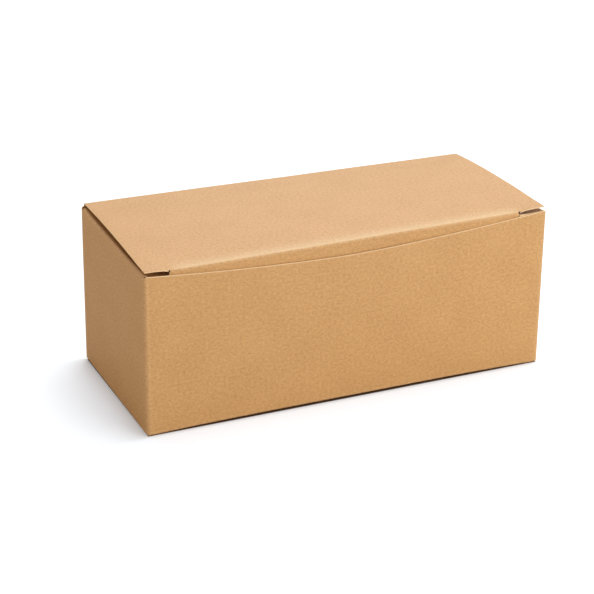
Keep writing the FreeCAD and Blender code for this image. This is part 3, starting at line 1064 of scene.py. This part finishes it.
def bend_place(x, angle):
    y = BEND_Y - fold_mid * math.sin(angle)
    z = BEND_Z + fold_mid * math.cos(angle)
    if angle == NOSE_ANGLE:
        return lid_place(x, fold_start_y)
    along = TUCK_ON_BLANK + angle * fold_mid
    return tuck_column(x, z), y, z, x + BACK_ON_BLANK, along, 1.0


def tuck_place(x, depth):
    drop = depth - CARD / 2
    y = HINGE_Y - math.sqrt(mid_swing**2 - drop**2)
    z = HINGE_Z - drop
    past = depth - TUCK_FOLD
    along = TUCK_ON_BLANK + bend_end * fold_mid + past
    return tuck_column(x, z), y, z, x + BACK_ON_BLANK, along, nearness(past)


def make_tuck(sheet):
    columns = [x for x in wall_columns if abs(x) <= SLIT_X]
    angles = steps(NOSE_ANGLE, bend_end, FOLD_STEPS + 2)
    sheet.weave(columns, angles, bend_place)
    start = CARD / 2 + HINGE_Z - bend_place(0.0, bend_end)[2]
    curve = TUCK_DEPTH - TUCK_TIP_RADIUS
    depths = [start + rise for rise in steps(0.0, CREASE_REACH, 2)]
    depths += TUCK_FLAT_ROWS + [curve]
    depths += [curve + TUCK_TIP_RADIUS * math.sin(angle) for angle in quarter[1:]]
    sheet.weave(columns, depths, tuck_place)


make_tuck(cover)
print("with the tuck flap:", len(cover.faces), "faces")

# %% [markdown]
# Now the sheets become meshes. Solidify gives the card its thickness and puts a
# second material on the cut edges. Offsetting every point by hand would do the same
# with more code. A small bevel then rounds the edges, because a knife crushes the
# card a little. The one border where the tray's card runs on into the back wall is
# no cut, so the bevel leaves it alone and the two pieces meet flush. Each point also
# takes along what the finish has to know: how near it is to a crease, whether it lies
# on the top of the scooped edge, which gets a painted highlight, and how much painted
# highlight it takes on the bend of the lid down to its tuck fold.

# %% From sheet to card
EDGE_ROUNDING = 0.22
EDGE_SEGMENTS = 2
EDGE_PROFILE = 0.5
CUT_ANGLE = math.radians(60)
SHARP_ANGLE = math.radians(40)
SAME = 0.001
# Where the painted highlight on the lid's bend reaches: behind the fold, past the slits, and down round the
# fold.
NOSE_HIGHLIGHT_REACH = 9.0
NOSE_HIGHLIGHT_SIDE = 6.0
NOSE_HIGHLIGHT_PAST_SLIT = 2.0
NOSE_HIGHLIGHT_END = math.radians(50)


def joined(place):
    """True on the border that the tray shares with the back wall."""
    return abs(place[0] + SEAM_SIDE * CREASE_X) < SAME and abs(place[1] - MID_Y) < SAME


def rim_highlight(place):
    """True along the top of the front wall, which gets a painted highlight."""
    x, y, z = place
    top = scoop_top(max(-CREASE_X, min(CREASE_X, x)))
    return y < -CREASE_Y and abs(z - top) < SAME


def nose_highlight(place):
    """How much painted highlight lies on the lid's bend down to its tuck fold."""
    x, y, z = place
    if z < BEND_Z + fold_mid * math.cos(NOSE_HIGHLIGHT_END):
        return 0.0
    behind = max(0.0, 1 - max(y - fold_start_y, 0.0) / NOSE_HIGHLIGHT_REACH)
    beside = min(max((SLIT_X + NOSE_HIGHLIGHT_PAST_SLIT - abs(x)) / NOSE_HIGHLIGHT_SIDE, 0.0), 1.0)
    return behind**2 * beside


def add_attribute(mesh, name, values):
    attribute = mesh.attributes.new(name, "FLOAT", "POINT")
    attribute.data.foreach_set("value", np.array(values, np.float32))


def card_object(name, sheet, materials):
    mesh = bpy.data.meshes.new(name)
    mesh.from_pydata([relaxed(place) * MM for place in sheet.points], [], sheet.faces)
    layer = mesh.uv_layers.new(name="blank")
    places = [corner for face in sheet.blank for corner in face]
    layer.data.foreach_set("uv", (np.array(places) * MM).ravel())
    add_attribute(mesh, "crease", sheet.folds)
    # Two of these marks carry painted highlights: the top of the scooped edge and the lid's bend.
    for mark, amount in (("uncut", joined), ("rim_highlight", rim_highlight), ("nose_highlight", nose_highlight)):
        add_attribute(mesh, mark, [amount(place) for place in sheet.points])
    turn_alike(mesh)
    for material in materials:
        mesh.materials.append(material)
    thing = add_object(name, mesh)
    give_thickness(thing)
    round_cut_edges(thing.data)
    return thing


def turn_alike(mesh):
    """Makes neighbouring faces of the open sheet face the same way."""
    work = bmesh.new()
    work.from_mesh(mesh)
    bmesh.ops.recalc_face_normals(work, faces=work.faces)
    work.to_mesh(mesh)
    work.free()


def apply_modifiers(thing):
    """Keeps what the modifiers make as the object's own plain mesh."""
    depsgraph = bpy.context.evaluated_depsgraph_get()
    finished = bpy.data.meshes.new_from_object(thing.evaluated_get(depsgraph))
    thing.modifiers.clear()
    thing.data = finished


def give_thickness(thing):
    thick = thing.modifiers.new("thickness", "SOLIDIFY")
    thick.thickness = CARD * MM
    thick.offset = 0
    thick.use_even_offset = True
    thick.material_offset_rim = 1
    apply_modifiers(thing)


def round_cut_edges(mesh):
    work = bmesh.new()
    work.from_mesh(mesh)
    uncut = work.verts.layers.float["uncut"]
    cuts = [
        edge for edge in work.edges
        if edge.is_manifold and edge.calc_face_angle() > CUT_ANGLE
        and not all(vertex[uncut] for vertex in edge.verts)
    ]
    bmesh.ops.bevel(
        work, geom=cuts, offset=EDGE_ROUNDING * MM, offset_type="OFFSET", affect="EDGES",
        segments=EDGE_SEGMENTS, profile=EDGE_PROFILE, clamp_overlap=True, material=1,
    )
    work.to_mesh(mesh)
    work.free()
    mesh.shade_smooth()
    mesh.set_sharp_from_angle(angle=SHARP_ANGLE)


print("card", CARD, "mm thick, edges rounded", EDGE_ROUNDING, "mm")

# %% [markdown]
# Kraft card is long brown fibres pressed into a sheet. Close up it shows clouds
# where the pulp is denser, a fine mottle, single curled fibres and a few dark specks.
# A photographed texture would hold one size and one light only, so all this is made
# from noise. Both finishes, the face and the cut edge, use it, so it is one node
# group with its scales as inputs.

# %% The fibres of kraft card, as a node group
FACE_SCALES = {"Cloud scale": 42.0, "Mottle scale": 640.0, "Fibre scale": 420.0}
CLOUD_WEIGHT = 0.35
CLOUD_DETAIL = 3.0
MOTTLE_WEIGHT = 1.25
MOTTLE_DETAIL = 3.5
MOTTLE_STRETCH = (1.0, 1.2, 1.0)
FINE_WEIGHT = 1.2
FINE_DETAIL = 2.0
FINE_SCALE = 3.1
STRAND_WEIGHT = 0.10
STRAND_HEIGHT = 0.25
FIBRE_WIDTH = 0.022
FIBRE_TURNS = (0.3, 1.4, 2.5)
FIBRE_DETAIL = 1.5
FIBRE_STRETCH = (1.0, 2.6, 1.0)
FIBRE_GAP_SCALE = 0.8
FIBRE_GAP_DETAIL = 1.0
FIBRE_GAP_CONTRAST = 8.0
NOISE_MIDDLE = 0.5
SPECK_SCALE = 260.0
SPECK_SMALLNESS = 7.0
SPECK_RARITY = 0.82


def add_socket(tree, name, direction, kind, value=None):
    socket = tree.interface.new_socket(name=name, in_out=direction, socket_type=kind)
    if value is not None:
        socket.default_value = value
    return socket


def noise_value(tree, vector, scale, detail, stretch=None, turn=0.0):
    """A noise texture of a given scale, stretched along a turned direction."""
    if stretch:
        turned_by = (0, 0, turn)
        mapping = add_node(tree, "ShaderNodeMapping", Rotation=turned_by, Scale=stretch)
        tree.links.new(vector, mapping.inputs["Vector"])
        vector = mapping.outputs[0]
    node = add_node(tree, "ShaderNodeTexNoise", Detail=detail)
    tree.links.new(vector, node.inputs["Vector"])
    tree.links.new(scale, node.inputs["Scale"])
    return node.outputs["Fac"]


def curled_fibres(tree, vector, scale, turn, width):
    """Thin curling lines: where a stretched noise crosses its middle value."""
    value = noise_value(tree, vector, scale, FIBRE_DETAIL, FIBRE_STRETCH, turn)
    away = math_node(tree, "SUBTRACT", value, NOISE_MIDDLE)
    thin = math_node(tree, "DIVIDE", math_node(tree, "ABSOLUTE", away), width)
    line = math_node(tree, "SUBTRACT", 1.0, thin, clamp=True)
    gap_scale = math_node(tree, "MULTIPLY", scale, FIBRE_GAP_SCALE)
    gaps = noise_value(tree, vector, gap_scale, FIBRE_GAP_DETAIL)
    past_middle = math_node(tree, "SUBTRACT", gaps, NOISE_MIDDLE)
    broken = math_node(tree, "MULTIPLY", past_middle, FIBRE_GAP_CONTRAST, clamp=True)
    return math_node(tree, "MULTIPLY", line, broken)


def make_fibre_group():
    tree = bpy.data.node_groups.new("kraft_fibres", "ShaderNodeTree")
    add_socket(tree, "Vector", "INPUT", "NodeSocketVector")
    for name, scale in FACE_SCALES.items():
        add_socket(tree, name, "INPUT", "NodeSocketFloat", scale)
    for name in ("Tone", "Specks", "Height"):
        add_socket(tree, name, "OUTPUT", "NodeSocketFloat")
    given = tree.nodes.new("NodeGroupInput")
    result = tree.nodes.new("NodeGroupOutput")
    vector, cloud_scale, mottle_scale, fibre_scale, *_ = given.outputs
    cloud = noise_value(tree, vector, cloud_scale, CLOUD_DETAIL)
    mottle = noise_value(tree, vector, mottle_scale, MOTTLE_DETAIL, MOTTLE_STRETCH)
    fine_scale = math_node(tree, "MULTIPLY", mottle_scale, FINE_SCALE)
    fine = noise_value(tree, vector, fine_scale, FINE_DETAIL)
    strands = 0.0
    for turn in FIBRE_TURNS:
        fibres = curled_fibres(tree, vector, fibre_scale, turn, FIBRE_WIDTH)
        strands = math_node(tree, "MAXIMUM", strands, fibres)
    # Each noise averages a half, and so does their weighted sum after this start.
    tone = 0.5 - (CLOUD_WEIGHT + MOTTLE_WEIGHT + FINE_WEIGHT) / 2
    for value, weight in ((cloud, CLOUD_WEIGHT), (mottle, MOTTLE_WEIGHT), (fine, FINE_WEIGHT)):
        tone = math_node(tree, "ADD", math_node(tree, "MULTIPLY", value, weight), tone)
    tone = math_node(tree, "ADD", tone, math_node(tree, "MULTIPLY", strands, STRAND_WEIGHT))
    raised = math_node(tree, "MULTIPLY", strands, STRAND_HEIGHT)
    tree.links.new(tone, result.inputs["Tone"])
    tree.links.new(speck_mask(tree, vector), result.inputs["Specks"])
    tree.links.new(math_node(tree, "ADD", raised, fine), result.inputs["Height"])
    return tree


def speck_mask(tree, vector):
    """A few dark specks of bark, kept from one Voronoi cell in several."""
    cells = add_node(tree, "ShaderNodeTexVoronoi", Scale=SPECK_SCALE)
    tree.links.new(vector, cells.inputs["Vector"])
    away = math_node(tree, "MULTIPLY", cells.outputs["Distance"], SPECK_SMALLNESS)
    spot = math_node(tree, "SUBTRACT", 1.0, away, clamp=True)
    split = tree.nodes.new("ShaderNodeSeparateColor")
    tree.links.new(cells.outputs["Color"], split.inputs["Color"])
    chosen = math_node(tree, "GREATER_THAN", split.outputs["Red"], SPECK_RARITY)
    return math_node(tree, "MULTIPLY", spot, chosen)


fibre_group = make_fibre_group()
print("group", fibre_group.name, "with", len(fibre_group.nodes), "nodes")

# %% [markdown]
# The face of the card takes the fibres' tone between a darker and a lighter brown.
# The pressed side is almost matt with a slight sheen off the fibres. A plain brown
# would look like plastic, and wear painted by hand would not follow a new size, so
# the wear and two painted highlights come from the points' own attributes. On creases
# the surface is broken and a little paler. The top of the scooped edge and the lid's
# bend down to its tuck fold get pale painted highlights. The cut edge is dull and
# shows the paler inside.

# %% Kraft face and cut edge
KRAFT_DARK = (0.50, 0.254, 0.077, 1)
KRAFT_LIGHT = (0.76, 0.442, 0.180, 1)
SPECK_BROWN = (0.23, 0.11, 0.045, 1)
SPECKS = 0.45
WORN_BROWN = (0.80, 0.53, 0.29, 1)
WORN = 0.30
# Painted highlights: pale on the top of the scooped edge and on the lid's bend to its tuck fold.
RIM_HIGHLIGHT_PALE = (1.0, 0.80, 0.50, 1)
NOSE_HIGHLIGHT_PALE = (0.90, 0.74, 0.48, 1)
NOSE_HIGHLIGHT = 0.36
FACE_ROUGHNESS = 0.53
FACE_SMOOTHING = -0.10
FACE_SHEEN = 0.5
FACE_BUMP = {"Strength": 0.10, "Distance": 0.00006}
EDGE_DARK = (0.72, 0.46, 0.23, 1)
EDGE_LIGHT = (0.96, 0.72, 0.44, 1)
EDGE_SCALES = {"Cloud scale": 90.0, "Mottle scale": 1500.0, "Fibre scale": 900.0}
EDGE_ROUGHNESS = 0.85
EDGE_SHEEN = 0.25
EDGE_BUMP = {"Strength": 0.5, "Distance": 0.0001}


def mix_colour(tree, factor, first, second):
    node = tree.nodes.new("ShaderNodeMix")
    node.data_type = "RGBA"
    tree.links.new(factor, node.inputs["Factor"])
    for name, value in (("A", first), ("B", second)):
        socket = next(s for s in node.inputs if s.name == name and s.type == "RGBA")
        if isinstance(value, bpy.types.NodeSocket):
            tree.links.new(value, socket)
        else:
            socket.default_value = value
    return next(s for s in node.outputs if s.type == "RGBA")


def new_material(name):
    material = bpy.data.materials.new(name)
    material.use_nodes = True
    tree = material.node_tree
    return material, tree, tree.nodes["Principled BSDF"]


def add_fibres(tree, vector, scales):
    group = tree.nodes.new("ShaderNodeGroup")
    group.node_tree = fibre_group
    tree.links.new(vector, group.inputs["Vector"])
    for name, scale in scales.items():
        group.inputs[name].default_value = scale
    return group


def attribute_value(tree, name):
    node = tree.nodes.new("ShaderNodeAttribute")
    node.attribute_name = name
    return node.outputs["Fac"]


def add_bump(tree, shader, height, settings):
    bump = add_node(tree, "ShaderNodeBump", **settings)
    tree.links.new(height, bump.inputs["Height"])
    tree.links.new(bump.outputs["Normal"], shader.inputs["Normal"])


def make_face_material():
    material, tree, shader = new_material("kraft_face")
    blank = tree.nodes.new("ShaderNodeUVMap")
    blank.uv_map = "blank"
    fibres = add_fibres(tree, blank.outputs["UV"], FACE_SCALES)
    tone = fibres.outputs["Tone"]
    colour = mix_colour(tree, tone, KRAFT_DARK, KRAFT_LIGHT)
    specks = math_node(tree, "MULTIPLY", fibres.outputs["Specks"], SPECKS)
    colour = mix_colour(tree, specks, colour, SPECK_BROWN)
    worn = math_node(tree, "MULTIPLY", attribute_value(tree, "crease"), tone)
    colour = mix_colour(tree, math_node(tree, "MULTIPLY", worn, WORN), colour, WORN_BROWN)
    # Painted highlights: a pale line on the scooped edge's top, and a pale band on the lid's bend.
    colour = mix_colour(tree, attribute_value(tree, "rim_highlight"), colour, RIM_HIGHLIGHT_PALE)
    nose_highlight_by = math_node(tree, "MULTIPLY", attribute_value(tree, "nose_highlight"), NOSE_HIGHLIGHT)
    colour = mix_colour(tree, nose_highlight_by, colour, NOSE_HIGHLIGHT_PALE)
    tree.links.new(colour, shader.inputs["Base Color"])
    smoothed = math_node(tree, "MULTIPLY", tone, FACE_SMOOTHING)
    rough = math_node(tree, "ADD", smoothed, FACE_ROUGHNESS)
    tree.links.new(rough, shader.inputs["Roughness"])
    shader.inputs["Specular IOR Level"].default_value = FACE_SHEEN
    add_bump(tree, shader, fibres.outputs["Height"], FACE_BUMP)
    return material


def make_edge_material():
    material, tree, shader = new_material("kraft_cut_edge")
    place = tree.nodes.new("ShaderNodeTexCoord")
    fibres = add_fibres(tree, place.outputs["Object"], EDGE_SCALES)
    colour = mix_colour(tree, fibres.outputs["Tone"], EDGE_DARK, EDGE_LIGHT)
    tree.links.new(colour, shader.inputs["Base Color"])
    shader.inputs["Roughness"].default_value = EDGE_ROUGHNESS
    shader.inputs["Specular IOR Level"].default_value = EDGE_SHEEN
    add_bump(tree, shader, fibres.outputs["Height"], EDGE_BUMP)
    return material


finishes = [make_face_material(), make_edge_material()]
print("finishes:", [material.name for material in finishes])

# %% [markdown]
# A crease is pressed into the flat blank by a blunt steel rule, and when the card is
# folded the pressed strip bulges inwards as a small round bead. A modeller would sweep
# a circle along each crease. A Geometry Nodes tree does it here for every crease of
# a piece at once, so the bead's size is set in a single place.

# %% Crease beads inside the folds
BEAD_RADIUS = 0.3
BEAD_SIDES = 10
BEAD_STEP = 2.5
BEAD_SUNK = 0.1
BEAD_END = 4.0


def make_bead_tree():
    tree = bpy.data.node_groups.new("crease_bead", "GeometryNodeTree")
    add_socket(tree, "Crease lines", "INPUT", "NodeSocketGeometry")
    add_socket(tree, "Bead radius", "INPUT", "NodeSocketFloat")
    add_socket(tree, "Bead sides", "INPUT", "NodeSocketInt")
    add_socket(tree, "Bead step", "INPUT", "NodeSocketFloat")
    add_socket(tree, "Material", "INPUT", "NodeSocketMaterial")
    add_socket(tree, "Beads", "OUTPUT", "NodeSocketGeometry")
    given = tree.nodes.new("NodeGroupInput")
    result = tree.nodes.new("NodeGroupOutput")
    lines = tree.nodes.new("GeometryNodeMeshToCurve")
    even = tree.nodes.new("GeometryNodeResampleCurve")
    even.mode = "LENGTH"
    ring = tree.nodes.new("GeometryNodeCurvePrimitiveCircle")
    sweep = tree.nodes.new("GeometryNodeCurveToMesh")
    sweep.inputs["Fill Caps"].default_value = True
    real = tree.nodes.new("GeometryNodeRealizeInstances")
    smooth = tree.nodes.new("GeometryNodeSetShadeSmooth")
    dress = tree.nodes.new("GeometryNodeSetMaterial")
    for start, end in (
        (given.outputs["Crease lines"], lines.inputs["Mesh"]),
        (lines.outputs["Curve"], even.inputs["Curve"]),
        (given.outputs["Bead step"], even.inputs["Length"]),
        (given.outputs["Bead sides"], ring.inputs["Resolution"]),
        (given.outputs["Bead radius"], ring.inputs["Radius"]),
        (even.outputs["Curve"], sweep.inputs["Curve"]),
        (ring.outputs["Curve"], sweep.inputs["Profile Curve"]),
        (sweep.outputs["Mesh"], smooth.inputs["Geometry"]),
        (smooth.outputs["Geometry"], real.inputs["Geometry"]),
        (real.outputs["Geometry"], dress.inputs["Geometry"]),
        (given.outputs["Material"], dress.inputs["Material"]),
        (dress.outputs["Geometry"], result.inputs["Beads"]),
    ):
        tree.links.new(start, end)
    return tree


def inner_corner(radius):
    """How far along both directions the bead lies from a fold's centre."""
    return (radius - CARD - BEAD_SUNK) * math.sin(math.pi / 4)


def line(first, last, sunk_by=None):
    """Points about a bead's step apart, moved with the card."""
    first, last = Vector(first), Vector(last)
    count = math.ceil((last - first).length / BEAD_STEP)
    places = [first.lerp(last, share) for share in steps(0.0, 1.0, count)]
    for place in places:
        place.z -= sunk_by(place.y) if sunk_by else 0.0
    return [relaxed(place) * MM for place in places]


def tray_crease_lines():
    post, top, foot = (inner_corner(radius) for radius in (CREASE, END_FOLD, FOOT_FOLD))
    lines = []
    for side_x, side_y in ((-1, -1), (1, -1), (-SEAM_SIDE, 1)):
        x, y = side_x * (CREASE_X + post), side_y * (CREASE_Y + post)
        lines.append(line((x, y, FOOT_FOLD + BEAD_END), (x, y, END_TOP - BEAD_END)))
    for side in (-1, 1):
        x, z = side * (HALF_LENGTH - END_FOLD + top), END_TOP + top
        lines.append(line((x, BEAD_END - flap_y, z), (x, flap_y - BEAD_END, z), end_sink))
    y, z = FOOT_FOLD - HALF_DEPTH - foot, FOOT_FOLD - foot
    lines.append(line((BEAD_END - CREASE_X, y, z), (CREASE_X - BEAD_END, y, z)))
    return lines


def lid_crease_lines():
    inside = inner_corner(TUCK_FOLD)
    y, z = BEND_Y - inside, BEND_Z + inside
    low, high = SLIT_SHIFT - SLIT_X + BEAD_END, SLIT_SHIFT + SLIT_X - BEAD_END
    return [line((low, y, z), (high, y, z))]


def bead_object(name, lines, material):
    points = [point for run in lines for point in run]
    edges, start = [], 0
    for run in lines:
        edges += [(start + i, start + i + 1) for i in range(len(run) - 1)]
        start += len(run)
    mesh = bpy.data.meshes.new(name)
    mesh.from_pydata(points, edges, [])
    thing = add_object(name, mesh)
    beads = thing.modifiers.new("beads", "NODES")
    beads.node_group = bead_tree
    sockets = {item.name: item.identifier for item in bead_tree.interface.items_tree}
    for label, value in (
        ("Bead radius", BEAD_RADIUS * MM), ("Bead sides", BEAD_SIDES),
        ("Bead step", BEAD_STEP * MM), ("Material", material),
    ):
        beads[sockets[label]] = value
    apply_modifiers(thing)
    return thing


bead_tree = make_bead_tree()
tray_beads = bead_object("tray_crease_beads", tray_crease_lines(), finishes[1])
lid_beads = bead_object("tuck_crease_bead", lid_crease_lines(), finishes[1])
print("beads:", len(tray_beads.data.polygons), "and", len(lid_beads.data.polygons), "faces")

# %% [markdown]
# The two sheets take their places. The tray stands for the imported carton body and
# rides with it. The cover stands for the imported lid. It could ride with the lid and
# leave an open crack behind it, but the real crease is one sheet. So it bends there:
# its wall stays with the tray while its panel turns with the lid.

# %% Dress the model
tray_piece = card_object("carton_tray", tray, finishes)
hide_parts("carton_body")
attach(tray_piece, "carton")

cover_piece = card_object("back_wall_and_lid", cover, finishes)
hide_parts("lid")
crease_start = (0, HINGE_Y * MM, back_crease_z * MM)
crease_end = (0, back_crease_y * MM, HINGE_Z * MM)
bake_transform(cover_piece, "carton", "lid", crease_start, crease_end)
for beads, body in ((tray_beads, "carton"), (lid_beads, "lid")):
    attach(beads, body)
for piece in (tray_piece, cover_piece, tray_beads, lid_beads):
    print(piece.name, len(piece.data.polygons), "faces")
